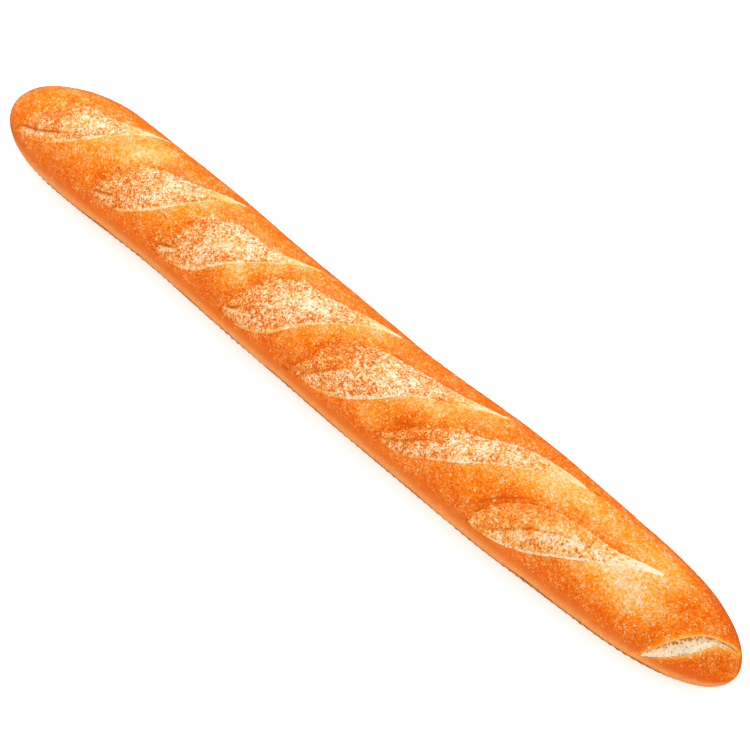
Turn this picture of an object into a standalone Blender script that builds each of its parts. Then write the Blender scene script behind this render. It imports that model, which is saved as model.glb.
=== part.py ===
# A baguette: one long loaf with a flat sole, a blunt end, a tapered end and eight opened scores.
# Metres, Z up. The loaf lies along X with its tapered end at +X, and its footprint is centred on
# the origin. A place on its skin is given as x along the loaf and s, the distance round the girth
# from the crown: positive s is the -Y side.

from collections import namedtuple

import bmesh
import bpy
import numpy as np

MM = 0.001

# Driving dimensions of the loaf
LENGTH = 600 * MM
HALF_WIDTH = 34.5 * MM
HEIGHT = 51 * MM
WIDEST_SHARE = 0.42          # height of the widest line, as a share of the height
SOLE_SHARE = 0.36            # half width of the flat sole, as a share of the half width
CROWN_POWER = 2.15           # superellipse power of the upper half, 2 is an ellipse
NOSE_SHARE = 0.36            # height that both ends close towards, as a share of the height
BLUNT_END = (75 * MM, 2.25)  # length of the rounding and its power, at -X
TAPERED_END = (158 * MM, 3.5)  # the same at +X

# Unevenness of the hand-shaped loaf: x, sideways drift of the middle, swelling of the girth
UNEVENNESS = [
    (-290 * MM, -2.6 * MM, 0.96),
    (-220 * MM, 0.5 * MM, 1.05),
    (-140 * MM, 2.0 * MM, 1.02),
    (-50 * MM, -0.5 * MM, 1.01),
    (40 * MM, -2.0 * MM, 1.00),
    (130 * MM, -0.5 * MM, 1.05),
    (210 * MM, 0.5 * MM, 0.98),
    (280 * MM, 1.0 * MM, 1.01),
]

# The scores, from -X to +X. A score runs from its start, low on the -Y side, to its end, past the
# crown. It opened into a leaf: lip and groove are how far its two edges swing out from the
# straight line between the tips, and depth is the groove's. All in millimetres.
Score = namedtuple("Score", "start_x start_s end_x end_s lip groove depth")
SCORES = [
    Score(-273, 39, -191, -27, 13, 17, 4.0),
    Score(-193, 36, -116, -21, 14, 14, 4.0),
    Score(-135, 40, -45, -21, 13, 18, 4.5),
    Score(-70, 41, 25, -22, 12, 19, 4.5),
    Score(-9, 41, 106, -18, 10, 20, 5.0),
    Score(62, 37, 182, -19, 7, 14, 4.0),
    Score(138, 43, 246, -8, 9, 16, 3.5),
]
LIP_HEIGHT = 1.6 * MM        # the raised cut edge of the crust
LIP_REACH = 7 * MM           # distance over which that rise fades into the crust
SHOULDER = 9 * MM            # width of the crust's slope down into a groove
FILL_POWER = 2.2             # how quickly the dough inside rises again from the groove
LIP_PEAK = (0.34, 2.0)       # where along a score the lip swings out furthest, and how pointed it is
GROOVE_PEAK = (0.40, 3.2)
DEPTH_PEAK = (0.42, 1.2)

# The last score, across the tapered end, is a narrow crack cut out as a bowed wedge, whose -X wall
# is steep and whose other wall slopes
CRACK_START = (250 * MM, 54 * MM)
CRACK_END = (296 * MM, -30 * MM)
CRACK_WIDTH = 8 * MM
CRACK_BOW = 3 * MM
CRACK_DEPTH = 7 * MM
CRACK_PEAK = (0.42, 1.4)
CRACK_STEPS = 14
CUTTER_RISE = 5 * MM         # how far the wedge stands out of the crust

# Mesh density. The columns of the mesh lean with the scores, so that their edges come out clean.
COLUMNS = 137
COLUMNS_AT_ENDS = 0.35       # share by which the columns crowd towards the ends
GIRTH_POINTS = 34
GIRTH_AT_CROWN = 0.40        # share by which the points crowd towards the crown
LEAN = 46 * MM               # furthest lean of a column
LEAN_FADE = 130 * MM         # length over which the lean fades out towards each end

CRUST_COLOUR = (0.80, 0.33, 0.07, 1.0)
CRUST_ROUGHNESS = 0.55


def half_section():
    """The loaf's cross-section from the crown to the middle of the sole, as y, z and s."""
    turn = np.radians(np.linspace(90, 0, 200))
    crown_y = np.cos(turn) ** (2 / CROWN_POWER)
    crown_z = WIDEST_SHARE + (1 - WIDEST_SHARE) * np.sin(turn) ** (2 / CROWN_POWER)
    turn = np.radians(np.linspace(0, 90, 200))[1:]
    side_y = SOLE_SHARE + (1 - SOLE_SHARE) * np.cos(turn)
    side_z = WIDEST_SHARE * (1 - np.sin(turn))
    y = HALF_WIDTH * np.concatenate([crown_y, side_y, [0.0]])
    z = HEIGHT * np.concatenate([crown_z, side_z, [0.0]])
    s = np.concatenate([[0.0], np.cumsum(np.hypot(np.diff(y), np.diff(z)))])
    return y, z, s


def between(rows, column, x):
    """A column of a table read at x, with a smooth swell from one row to the next."""
    places = np.array([row[0] for row in rows])
    values = np.array([row[column] for row in rows])
    x = np.clip(x, places[0], places[-1])
    left = np.clip(np.searchsorted(places, x, side="right") - 1, 0, len(rows) - 2)
    share = (x - places[left]) / (places[left + 1] - places[left])
    share = share * share * (3 - 2 * share)
    return values[left] * (1 - share) + values[left + 1] * share


def end_scale(x):
    """How far the cross-section has closed at x: 1 in the middle, 0 at both tips."""
    scale = np.ones_like(x)
    for distance, (reach, power) in ((x + LENGTH / 2, BLUNT_END), (LENGTH / 2 - x, TAPERED_END)):
        share = np.clip(1 - distance / reach, 0, 1)
        scale = scale * np.sqrt(1 - share**power)
    return scale


def skin(x, s):
    """The smooth loaf before it was scored."""
    half_y, half_z, half_s = half_section()
    y = np.interp(np.abs(s), half_s, half_y) * -np.sign(s)
    z = np.interp(np.abs(s), half_s, half_z)
    scale = end_scale(x)
    swelling = between(UNEVENNESS, 2, x)
    y = between(UNEVENNESS, 1, x) + y * swelling * scale
    nose = NOSE_SHARE * HEIGHT
    z = ((z - nose) * scale + nose) * (1 + swelling) / 2
    return np.stack([x, y, z], axis=-1)


def leaf(along, peak):
    """0 at both tips and 1 at the widest place; peak is that place and how pointed the tips are."""
    at, point = peak
    along = np.clip(along, 0, 1)
    rise = along ** (at * point) * (1 - along) ** ((1 - at) * point)
    return rise / (at ** (at * point) * (1 - at) ** ((1 - at) * point))


def opened_score(x, s, score):
    """Height that one opened score adds to the skin."""
    x0, s0, x1, s1, lip, groove, depth = (value * MM for value in score)
    run = np.hypot(x1 - x0, s1 - s0)
    dx, ds = (x1 - x0) / run, (s1 - s0) / run
    along = ((x - x0) * dx + (s - s0) * ds) / run
    across = (s - s0) * dx - (x - x0) * ds
    lip = lip * leaf(along, LIP_PEAK)
    groove = groove * leaf(along, GROOVE_PEAK)
    depth = depth * leaf(along, DEPTH_PEAK)
    share = (across + groove) / np.maximum(lip + groove, MM)
    inside = -depth * (1 - np.clip(share, 0, 1)) ** FILL_POWER
    shoulder = -depth * np.clip(1 - (-groove - across) / SHOULDER, 0, 1) ** 2
    past_lip = LIP_HEIGHT * leaf(along, DEPTH_PEAK) * np.exp(-np.maximum(across - lip, 0) / LIP_REACH)
    height = np.where(across < -groove, shoulder, np.where(across > lip, past_lip, inside))
    return np.where((along > 0) & (along < 1), height, 0)


def on_skin(x, s):
    """A point on the smooth loaf and the direction straight out of it."""
    step = 0.5 * MM
    place = np.array([[x, s], [x + step, s], [x, s + step]])
    here, along, round_girth = skin(place[:, 0], place[:, 1])
    normal = np.cross(round_girth - here, along - here)
    return here, normal / np.linalg.norm(normal)


def mesh_grid():
    """x and s of every mesh point but the two tips, a row for each column of the mesh."""
    even = np.linspace(-1, 1, COLUMNS)[1:-1]
    crowded = np.sin(even * np.pi / 2)
    middle = LENGTH / 2 * (even * (1 - COLUMNS_AT_ENDS) + crowded * COLUMNS_AT_ENDS)
    half_girth = half_section()[2][-1]
    turn = np.arange(GIRTH_POINTS) / GIRTH_POINTS * 2 - 1
    turn = turn - GIRTH_AT_CROWN * np.sin(np.pi * turn) / np.pi
    s = half_girth * turn
    fade = np.clip((LENGTH / 2 - np.abs(middle)) / LEAN_FADE, 0, 1)
    fade = fade * fade * (3 - 2 * fade)
    x = middle[:, None] - LEAN * np.sin(np.pi * turn)[None, :] * fade[:, None]
    return x, np.broadcast_to(s, x.shape)


def outward(points):
    """The skin's outward directions, from each point's neighbours."""
    along = np.gradient(points, axis=0)
    ring = np.concatenate([points[:, -1:], points, points[:, :1]], axis=1)
    round_girth = (ring[:, 2:] - ring[:, :-2]) / 2
    normal = np.cross(round_girth, along)
    return normal / np.linalg.norm(normal, axis=2, keepdims=True)


def loaf_points():
    x, s = mesh_grid()
    points = skin(x, s)
    height = sum(opened_score(x, s, score) for score in SCORES)
    return points + outward(points) * height[:, :, None]


def loaf_mesh(rings, tips, shift):
    """One closed skin over the rings, with a fan at each tip."""
    mesh = bmesh.new()
    grid = [[mesh.verts.new(point + shift) for point in ring] for ring in rings]
    first, last = (mesh.verts.new(tip + shift) for tip in tips)
    for ring, following in zip(grid[:-1], grid[1:]):
        for k in range(GIRTH_POINTS):
            after = (k + 1) % GIRTH_POINTS
            mesh.faces.new([ring[k], ring[after], following[after], following[k]])
    for k in range(GIRTH_POINTS):
        after = (k + 1) % GIRTH_POINTS
        mesh.faces.new([grid[0][after], grid[0][k], first])
        mesh.faces.new([grid[-1][k], grid[-1][after], last])
    bmesh.ops.triangulate(mesh, faces=mesh.faces[:], quad_method="SHORT_EDGE")
    return finished(mesh, "loaf")


def crack_mesh(shift):
    """The wedge that opens the crack: a row of triangles along it, closed to a point at both ends."""
    mesh = bmesh.new()
    (x0, s0), (x1, s1) = CRACK_START, CRACK_END
    run = np.hypot(x1 - x0, s1 - s0)
    rows = []
    for step in range(1, CRACK_STEPS):
        along = step / CRACK_STEPS
        width = CRACK_WIDTH * leaf(along, CRACK_PEAK)
        rows.append([])
        for across in (0, width):
            swing = (across + CRACK_BOW * leaf(along, (0.5, 2.0))) / run
            x = x0 + along * (x1 - x0) - swing * (s1 - s0)
            s = s0 + along * (s1 - s0) + swing * (x1 - x0)
            here, out = on_skin(x, s)
            rows[-1].append(here + out * CUTTER_RISE)
            if across == 0:
                bottom = here - out * CRACK_DEPTH * leaf(along, CRACK_PEAK)
        rows[-1].append(bottom)
    rings = [[mesh.verts.new(point + shift) for point in row] for row in rows]
    for ring, following in zip(rings[:-1], rings[1:]):
        for k in range(3):
            after = (k + 1) % 3
            mesh.faces.new([ring[k], ring[after], following[after], following[k]])
    for ring, (x, s) in ((rings[0], CRACK_START), (rings[-1], CRACK_END)):
        here, out = on_skin(x, s)
        tip = mesh.verts.new(here + out * CUTTER_RISE + shift)
        for k in range(3):
            mesh.faces.new([ring[k], ring[(k + 1) % 3], tip])
    return finished(mesh, "crack_cutter")


def finished(mesh, name):
    bmesh.ops.recalc_face_normals(mesh, faces=mesh.faces[:])
    data = bpy.data.meshes.new(name)
    mesh.to_mesh(data)
    mesh.free()
    data.shade_smooth()
    return data


def crust_material():
    material = bpy.data.materials.new("baked_crust")
    material.use_nodes = True
    shader = material.node_tree.nodes["Principled BSDF"]
    shader.inputs["Base Color"].default_value = CRUST_COLOUR
    shader.inputs["Roughness"].default_value = CRUST_ROUGHNESS
    shader.inputs["Metallic"].default_value = 0.0
    return material


def main():
    for old in list(bpy.data.objects):
        bpy.data.objects.remove(old)

    rings = loaf_points()
    tips = skin(np.array([-LENGTH / 2, LENGTH / 2]), np.array([0.0, 0.0]))
    every = np.concatenate([rings.reshape(-1, 3), tips])
    middle = (every.min(axis=0) + every.max(axis=0)) / 2
    shift = np.array([-middle[0], -middle[1], -every[:, 2].min()])

    loaf = bpy.data.objects.new("loaf", loaf_mesh(rings, tips, shift))
    loaf.data.materials.append(crust_material())
    cutter = bpy.data.objects.new("crack_cutter", crack_mesh(shift))
    cutter.hide_render = True
    cutter.display_type = "WIRE"
    cut = loaf.modifiers.new("crack", "BOOLEAN")
    cut.operation = "DIFFERENCE"
    cut.object = cutter
    for piece in (loaf, cutter):
        bpy.context.scene.collection.objects.link(piece)


main()
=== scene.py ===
import math

import bpy
import numpy as np
from mathutils import Matrix, Vector


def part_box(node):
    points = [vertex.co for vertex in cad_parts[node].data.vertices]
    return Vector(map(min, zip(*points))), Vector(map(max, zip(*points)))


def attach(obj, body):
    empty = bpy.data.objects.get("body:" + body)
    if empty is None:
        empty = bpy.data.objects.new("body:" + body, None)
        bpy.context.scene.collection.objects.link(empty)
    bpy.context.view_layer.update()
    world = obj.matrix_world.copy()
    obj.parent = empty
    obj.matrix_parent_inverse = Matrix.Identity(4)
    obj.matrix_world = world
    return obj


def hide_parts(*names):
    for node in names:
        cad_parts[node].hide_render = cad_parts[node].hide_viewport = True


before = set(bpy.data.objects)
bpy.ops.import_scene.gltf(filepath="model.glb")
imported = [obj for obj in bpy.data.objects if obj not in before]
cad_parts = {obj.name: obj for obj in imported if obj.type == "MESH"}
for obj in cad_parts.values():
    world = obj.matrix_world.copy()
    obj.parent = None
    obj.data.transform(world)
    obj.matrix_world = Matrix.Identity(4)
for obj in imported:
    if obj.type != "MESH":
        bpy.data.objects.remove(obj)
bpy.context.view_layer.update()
mm = 0.001
loafNode = "loaf"
body = "root"
loafLow, loafHigh = (np.array(corner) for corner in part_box(loafNode))


# small helpers

def linear(hexColour):
    parts = [int(hexColour[k:k + 2], 16) / 255 for k in (1, 3, 5)]
    return tuple(c / 12.92 if c <= 0.04045 else ((c + 0.055) / 1.055) ** 2.4 for c in parts) + (1.0,)


def addNode(tree, kind, values=None, stops=None, **settings):
    # values go to the inputs, by name or number; a node given as a value is linked by its first output
    node = tree.nodes.new(kind)
    for name, value in settings.items():
        setattr(node, name, value)
    for key, value in (values or {}).items():
        named = [s for s in node.inputs if s.enabled and s.name == key]
        socket = node.inputs[key] if isinstance(key, int) else named[0]
        if isinstance(value, bpy.types.Node):
            value = next(s for s in value.outputs if s.enabled)
        if isinstance(value, bpy.types.NodeSocket):
            tree.links.new(value, socket)
        else:
            socket.default_value = value
    if stops:
        ramp = node.color_ramp.elements
        ramp.remove(ramp[1])
        ramp[0].position = stops[0][0]
        ramp[0].color = linear(stops[0][1])
        for place, colour in stops[1:]:
            ramp.new(place).color = linear(colour)
    return node


def addMath(tree, operation, *values, **settings):
    return addNode(tree, "ShaderNodeMath", dict(enumerate(values)), operation=operation, **settings)


def addNoise(tree, place, size, **values):
    return addNode(tree, "ShaderNodeTexNoise", {"Vector": place, "Scale": 1 / size, **values})


def readFact(tree, name):
    return addNode(tree, "ShaderNodeAttribute", attribute_name=name).outputs["Fac"]


def addRange(tree, *values):
    # a value, the range it comes from and the range it is mapped to
    return addNode(tree, "ShaderNodeMapRange", dict(enumerate(values)))


def mixColours(tree, share, first, second, **settings):
    colours = {"Factor": share, "A": first, "B": second}
    return addNode(tree, "ShaderNodeMix", colours, data_type="RGBA", **settings)


def smooth(value, low, high):
    share = np.clip((value - low) / (high - low), 0, 1)
    return share * share * (3 - 2 * share)


def addAttribute(mesh, name, values):
    layer = mesh.attributes.new(name, "FLOAT", "POINT")
    layer.data.foreach_set("value", np.ascontiguousarray(values, np.float32).ravel())


def newObject(name, points, faces, attributes=None):
    mesh = bpy.data.meshes.new(name)
    mesh.from_pydata(np.asarray(points).tolist(), [], faces)
    for key, values in (attributes or {}).items():
        addAttribute(mesh, key, values)
    mesh.shade_smooth()
    made = bpy.data.objects.new(name, mesh)
    bpy.context.scene.collection.objects.link(made)
    return made


def newTree(name, inputs):
    # a geometry tree with named inputs for its sizes; returns it with its input node
    tree = bpy.data.node_groups.new(name, "GeometryNodeTree")
    tree.interface.new_socket("Geometry", in_out="INPUT", socket_type="NodeSocketGeometry")
    tree.interface.new_socket("Geometry", in_out="OUTPUT", socket_type="NodeSocketGeometry")
    for label in inputs:
        tree.interface.new_socket(label, in_out="INPUT", socket_type="NodeSocketFloat")
    return tree, tree.nodes.new("NodeGroupInput")


def endTree(tree, geometry, material):
    realized = addNode(tree, "GeometryNodeRealizeInstances", {"Geometry": geometry})
    smoothed = addNode(tree, "GeometryNodeSetShadeSmooth", {"Geometry": realized})
    finished = addNode(tree, "GeometryNodeSetMaterial", {"Geometry": smoothed, "Material": material})
    addNode(tree, "NodeGroupOutput", {"Geometry": finished})


def grow(holder, tree, inputs):
    # runs the tree on the object and keeps what it makes as the object's own plain mesh
    modifier = holder.modifiers.new(tree.name, "NODES")
    modifier.node_group = tree
    for item in tree.interface.items_tree:
        if item.item_type == "SOCKET" and item.in_out == "INPUT" and item.name in inputs:
            modifier[item.identifier] = inputs[item.name]
    bpy.context.view_layer.update()
    graph = bpy.context.evaluated_depsgraph_get()
    made = bpy.data.meshes.new_from_object(holder.evaluated_get(graph), depsgraph=graph)
    made.name = holder.name
    made.set_sharp_from_angle(angle=math.radians(55))
    holder.modifiers.remove(modifier)
    old = holder.data
    holder.data = made
    bpy.data.meshes.remove(old)
    return holder


def newMaterial(name):
    material = bpy.data.materials.new(name)
    material.use_nodes = True
    tree = material.node_tree
    return material, tree, tree.nodes["Principled BSDF"]


# the loaf's form: the sizes and formulas of its CAD solid

loafForm = {
    "length": 600 * mm,
    "halfWidth": 34.5 * mm,
    "height": 51 * mm,
    "widestShare": 0.42,  # height of the widest line, as a share of the height
    "soleShare": 0.36,  # half width of the flat sole, as a share of the half width
    "crownPower": 2.15,
    "noseShare": 0.36,  # height that both ends close towards
    "bluntEnd": (75 * mm, 2.25),  # length and power of the rounding at -X
    "taperedEnd": (158 * mm, 3.5),  # the same at +X
    # x, sideways drift, swelling of the girth
    "unevenness": [
        (-290, -2.6, 0.96), (-220, 0.5, 1.05), (-140, 2.0, 1.02), (-50, -0.5, 1.01),
        (40, -2.0, 1.00), (130, -0.5, 1.05), (210, 0.5, 0.98), (280, 1.0, 1.01),
    ],
}


def halfSection():
    turn = np.radians(np.linspace(90, 0, 600))
    widest, sole = loafForm["widestShare"], loafForm["soleShare"]
    crownY = np.cos(turn) ** (2 / loafForm["crownPower"])
    crownZ = widest + (1 - widest) * np.sin(turn) ** (2 / loafForm["crownPower"])
    turn = np.radians(np.linspace(0, 90, 600))[1:]
    sideY = sole + (1 - sole) * np.cos(turn)
    sideZ = widest * (1 - np.sin(turn))
    y = loafForm["halfWidth"] * np.concatenate([crownY, sideY, [0.0]])
    z = loafForm["height"] * np.concatenate([crownZ, sideZ, [0.0]])
    s = np.concatenate([[0.0], np.cumsum(np.hypot(np.diff(y), np.diff(z)))])
    return y, z, s


sectionY, sectionZ, sectionS = halfSection()
halfGirth = sectionS[-1]


def between(rows, column, x):
    # a column of a table read at x, with a smooth swell from row to row
    places = np.array([row[0] * mm for row in rows])
    values = np.array([row[column] for row in rows])
    x = np.clip(x, places[0], places[-1])
    left = np.clip(np.searchsorted(places, x, side="right") - 1, 0, len(rows) - 2)
    share = smooth(x, places[left], places[left + 1])
    return values[left] * (1 - share) + values[left + 1] * share


def endScale(x):
    # 1 along the middle, 0 at both tips
    half = loafForm["length"] / 2
    scale = np.ones_like(x)
    for distance, (reach, power) in ((x + half, loafForm["bluntEnd"]), (half - x, loafForm["taperedEnd"])):
        share = np.clip(1 - distance / reach, 0, 1)
        scale = scale * np.sqrt(1 - share ** power)
    return scale


def rawSkin(x, s):
    # s is the distance round the girth from the crown, positive on the -Y side
    y = np.interp(np.abs(s), sectionS, sectionY) * -np.sign(s)
    z = np.interp(np.abs(s), sectionS, sectionZ)
    scale = endScale(x)
    swelling = between(loafForm["unevenness"], 2, x)
    nose = loafForm["noseShare"] * loafForm["height"]
    y = between(loafForm["unevenness"], 1, x) * mm + y * swelling * scale
    z = ((z - nose) * scale + nose) * (1 + swelling) / 2
    return np.stack([x, y, z], axis=-1)


def skinShift():
    # puts the formulas' loaf where the CAD solid lies
    x = np.linspace(-0.5, 0.5, 400) * loafForm["length"]
    sides = [rawSkin(x, np.full_like(x, side * s))[:, 1] for side in (-1, 1) for s in sectionS[::8]]
    middle = (np.min(sides) + np.max(sides)) / 2
    centre = (loafLow + loafHigh) / 2
    return np.array([centre[0], centre[1] - middle, loafLow[2]])


shift = skinShift()


def onSkin(x, s, height=0.0):
    # points at a height straight out of the smooth loaf
    step = 0.4 * mm
    inward = np.where(x > 0, -step, step)
    here = rawSkin(x, s)
    along = (rawSkin(x + inward, s) - here) * np.sign(inward)[..., None]
    round_ = rawSkin(x, s + step) - here
    out = np.cross(round_, along)
    out = out / np.maximum(np.linalg.norm(out, axis=-1, keepdims=True), 1e-12)
    return here + shift + out * np.asarray(height)[..., None], out


# the openings, where the scores tore open in the oven

# Each edge is a few places (x, s) in mm from the near tip, low on the -Y side, to the far tip past the
# crown. The lip is the crisp edge of the crust that lifted; at the groove the crumb dips under the crust.
# Blend is how far the crumb's net runs on into the crust beyond the groove, seam how clear the groove is.
# A pit is a hole torn into the crumb, and at a fold a baked flap of it ends: both are lines in (x, s) too.
openings = [
    {"near": (-274, 40), "far": (-184, -31), "depth": 1.7, "browned": 0.62, "blend": 1.0, "seam": 0.0,
     "lip": [(-262, 36.5), (-250, 33), (-230, 24), (-214, 10), (-199, -10)],
     "groove": [(-265, 26), (-256, 7.5), (-243, -7.5), (-222, -10.5), (-202, -19)],
     "pit": {"line": [(-269, 34), (-250, 28), (-230, 19)], "width": 5.6, "depth": 1.1}},
    {"near": (-193, 37), "far": (-108, -27), "depth": 2.0, "browned": 0.40, "blend": 0.5, "seam": 0.7,
     "lip": [(-175, 37), (-157, 29.5), (-142, 18), (-130, 3), (-118, -15)],
     "groove": [(-189, 23), (-179, 6), (-161, -5), (-143, -10.5), (-124, -20)],
     "pit": {"line": [(-189, 34.5), (-183, 33), (-175, 30)], "width": 4.0, "depth": 0.8}},
    {"near": (-135, 41), "far": (-38, -26), "depth": 1.8, "browned": 0.38, "blend": 0.6, "seam": 0.2,
     "lip": [(-115, 39.5), (-98, 33), (-83, 19), (-68, 5.5), (-52, -12)],
     "groove": [(-126, 25), (-120, 7), (-104, -6.5), (-88, -10), (-75, -9.5), (-60, -15)],
     "pit": {"line": [(-131, 37.5), (-124, 34.5), (-116, 31)], "width": 4.2, "depth": 0.8}},
    {"near": (-70, 42), "far": (32, -27), "depth": 2.4, "browned": 0.36, "blend": 0.35, "seam": 0.7,
     "lip": [(-50, 41), (-32, 33), (-15, 16), (0, 1.5), (16, -14)],
     "groove": [(-65, 27), (-57, 7), (-39, -7), (-18, -12), (9, -21.5)],
     "pit": {"line": [(-66, 38.5), (-61, 36), (-55, 31)], "width": 4.0, "depth": 0.8}},
    {"near": (-9, 41), "far": (116, -25), "depth": 2.5, "browned": 0.42, "blend": 0.25, "seam": 1.0,
     "lip": [(15, 39.5), (36, 31.5), (53, 20), (66, 8), (77, 1.5), (90, -5), (101, -13)],
     "groove": [(-1, 29), (6, 13), (23, -3), (45, -10.5), (75, -14.5), (98, -19.5)],
     "fold": {"line": [(0, 38), (10, 30), (20, 21), (29, 13)], "height": 0.6}},
    {"near": (61, 37), "far": (181, -19), "depth": 2.2, "browned": 0.36, "blend": 0.3, "seam": 0.8,
     "lip": [(80, 37.5), (99, 29), (118, 19), (137, 5.5), (160, -8.5)],
     "groove": [(72, 29), (83, 17), (95, 7), (115, -1), (132, -12), (158, -18.5)],
     "fold": {"line": [(66, 36), (80, 29), (92, 20), (104, 14)], "height": 0.5}},
    {"near": (137, 44), "far": (246, -8), "depth": 2.0, "browned": 0.82, "blend": 0.3, "seam": 1.0,
     "lip": [(155, 42.5), (175, 36.5), (197, 25.5), (217, 13), (233, 2)],
     "groove": [(143, 31), (154, 19), (170, 9), (190, 4), (215, 2), (233, -4)],
     "fold": {"line": [(142, 41), (156, 35), (170, 24), (190, 15), (212, 7)], "height": 0.6}},
]
# The last score is a crack across the tapered end, with its steep wall at the groove's side
crack = {
    "near": (250, 57), "far": (296, -42), "depth": 0.0,
    "browned": 0.0, "blend": 0.0, "seam": 0.0, "wall": 1.5,
    "lip": [(258.5, 49), (266, 43), (273.5, 35), (280.5, 24.5),
            (284.5, 12), (287.5, 0), (291, -9), (294, -20)],
    "groove": [(256.5, 49), (262.5, 38.5), (268, 27.5), (273.5, 16.5),
               (279.5, 5.5), (287, -6), (293, -20)],
}

edges = {
    "lipHeight": 1.2 * mm,  # rise of the crust's cut edge
    "lipReach": 7 * mm,  # distance over which that rise fades
    "lipStep": 0.3 * mm,  # the crumb stops this far below the lip
    "shoulder": 13 * mm,  # width of the crust's slope down into a groove
    "trough": 4.0 * mm,  # how far the crust runs on down below the crumb
    "tuck": 1.6 * mm,  # how far the crumb runs on under the crust
}


def leaf(share, at=0.38, point=1.5):
    # 0 at both ends and 1 at the widest place, with pointed ends
    share = np.clip(share, 0, 1)
    rise = share ** (at * point) * (1 - share) ** ((1 - at) * point)
    return rise / (at ** (at * point) * (1 - at) ** ((1 - at) * point))


def scoreLine(opening):
    near, far = (np.array(opening[tip]) * mm for tip in ("near", "far"))
    run = np.linalg.norm(far - near)
    return near, (far - near) / run, run


def toLine(opening, x, s):
    # the share along the straight line between the tips, and the distance across it
    near, (dx, ds), run = scoreLine(opening)
    return ((x - near[0]) * dx + (s - near[1]) * ds) / run, (s - near[1]) * dx - (x - near[0]) * ds


def fromLine(opening, share, across):
    near, (dx, ds), run = scoreLine(opening)
    return near[0] + share * run * dx - across * ds, near[1] + share * run * ds + across * dx


def edgeAt(opening, name, share):
    # how far that edge lies across the line, on a smooth curve through its places
    places = [toLine(opening, x * mm, s * mm) for x, s in opening[name]]
    knots = np.array([0.0] + [place[0] for place in places] + [1.0])
    values = np.array([0.0] + [place[1] for place in places] + [0.0])
    slope = np.gradient(values, knots)
    k = np.clip(np.searchsorted(knots, share, side="right") - 1, 0, len(knots) - 2)
    span = knots[k + 1] - knots[k]
    t = np.clip((share - knots[k]) / span, 0, 1)
    return ((2 * t ** 3 - 3 * t ** 2 + 1) * values[k] + (t ** 3 - 2 * t ** 2 + t) * span * slope[k]
            + (3 * t ** 2 - 2 * t ** 3) * values[k + 1] + (t ** 3 - t ** 2) * span * slope[k + 1])


def fromEdge(opening, name, x, s):
    # distance from an edge, positive on its +across side, and the way straight to it in (x, s)
    share, across = toLine(opening, x, s)
    _, (dx, ds), run = scoreLine(opening)
    step = 0.004
    tilt = (edgeAt(opening, name, share + step) - edgeAt(opening, name, share - step)) / (2 * step * run)
    length = np.sqrt(1 + tilt ** 2)
    distance = (across - edgeAt(opening, name, share)) / length
    way = np.stack([(-tilt * dx - ds) / length, (-tilt * ds + dx) / length], axis=-1)
    return share, distance, way


def fromPath(line, x, s):
    # distance from a line of places in mm, negative on its left, and the share along it
    best = np.full(x.shape, 1e9)
    signed, along = np.zeros(x.shape), np.zeros(x.shape)
    places = np.array(line) * mm
    for k, (a, b) in enumerate(zip(places[:-1], places[1:])):
        d = b - a
        t = np.clip(((x - a[0]) * d[0] + (s - a[1]) * d[1]) / (d @ d), 0, 1)
        offX, offS = x - a[0] - t * d[0], s - a[1] - t * d[1]
        distance = np.hypot(offX, offS)
        closer = distance < best
        best = np.where(closer, distance, best)
        side = np.sign(d[0] * offS - d[1] * offX)
        signed = np.where(closer, distance * side, signed)
        along = np.where(closer, (k + t) / (len(places) - 1), along)
    return signed, along


def besideOpening(opening, x, s):
    # what a score does to the crust around it: height, closeness to the lip and to the groove, inside
    share, pastLip, _ = fromEdge(opening, "lip", x, s)
    _, pastGroove, _ = fromEdge(opening, "groove", x, s)
    pastGroove = -pastGroove
    swell = leaf(share)
    spread = smooth(share, -0.06, 0.10) * smooth(share, 1.08, 0.86)
    hair = 0.04 * mm
    inside = (pastLip < -hair) & (pastGroove < -hair) & (share > 0) & (share < 1)
    onLip = (pastLip >= -hair) & (share > 0) & (share < 1)
    onGroove = (pastGroove >= -hair) & ~onLip & (share > 0) & (share < 1)
    depth = opening["depth"] * mm * swell
    rise = edges["lipHeight"] * swell * np.exp(-np.maximum(pastLip, 0) / edges["lipReach"])
    dip = -depth * np.clip(1 - np.maximum(pastGroove, 0) / edges["shoulder"], 0, 1) ** 2
    floor = -depth - edges["trough"] * swell * smooth(-pastGroove, 0, 2.5 * mm)
    if "wall" in opening:
        floor = -(edges["trough"] + opening["wall"] * mm) * swell * smooth(-pastLip, 0, 2.5 * mm)
        rise = 0.3 * rise
        dip = 0.5 * edges["lipHeight"] * swell * np.exp(-np.maximum(pastGroove, 0) / edges["lipReach"])
    height = np.where(inside, floor, np.where(onLip, rise, np.where(onGroove, dip, 0)))
    nearLip = spread * np.exp(-np.maximum(pastLip, 0) / (8 * mm)) * (pastLip > -hair)
    nearGroove = spread * np.exp(-np.maximum(pastGroove, 0) / (7 * mm)) * (pastGroove > -hair)
    return height, nearLip, nearGroove, inside


# the crust

traySizes = {
    "pitch": 5.0 * mm,  # between the holes of the baking tray
    "width": 2.4 * mm,
    "high": 0.35 * mm,
    "edge": 17.0 * mm,  # height up to which the dough lay on it
    "endRise": 4.5 * mm,  # how much lower that is towards the ends
    "unevenness": 1.1 * mm,
    "rowsFrom": 57.5 * mm,  # s of the first row of holes
}
crustSizes = {
    "columns": 636,  # along the loaf, evenly along its outline
    "crownStep": 0.90 * mm,  # round the girth, where the openings are
    "sideStep": 1.7 * mm,
    "soleStep": 2.7 * mm,
    "lump": 0.35 * mm,  # height of the broad unevenness
    "lumpSize": 22 * mm,
    "pucker": 0.10 * mm,  # height of the fine unevenness
    "puckerSize": 4.5 * mm,
}


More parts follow.
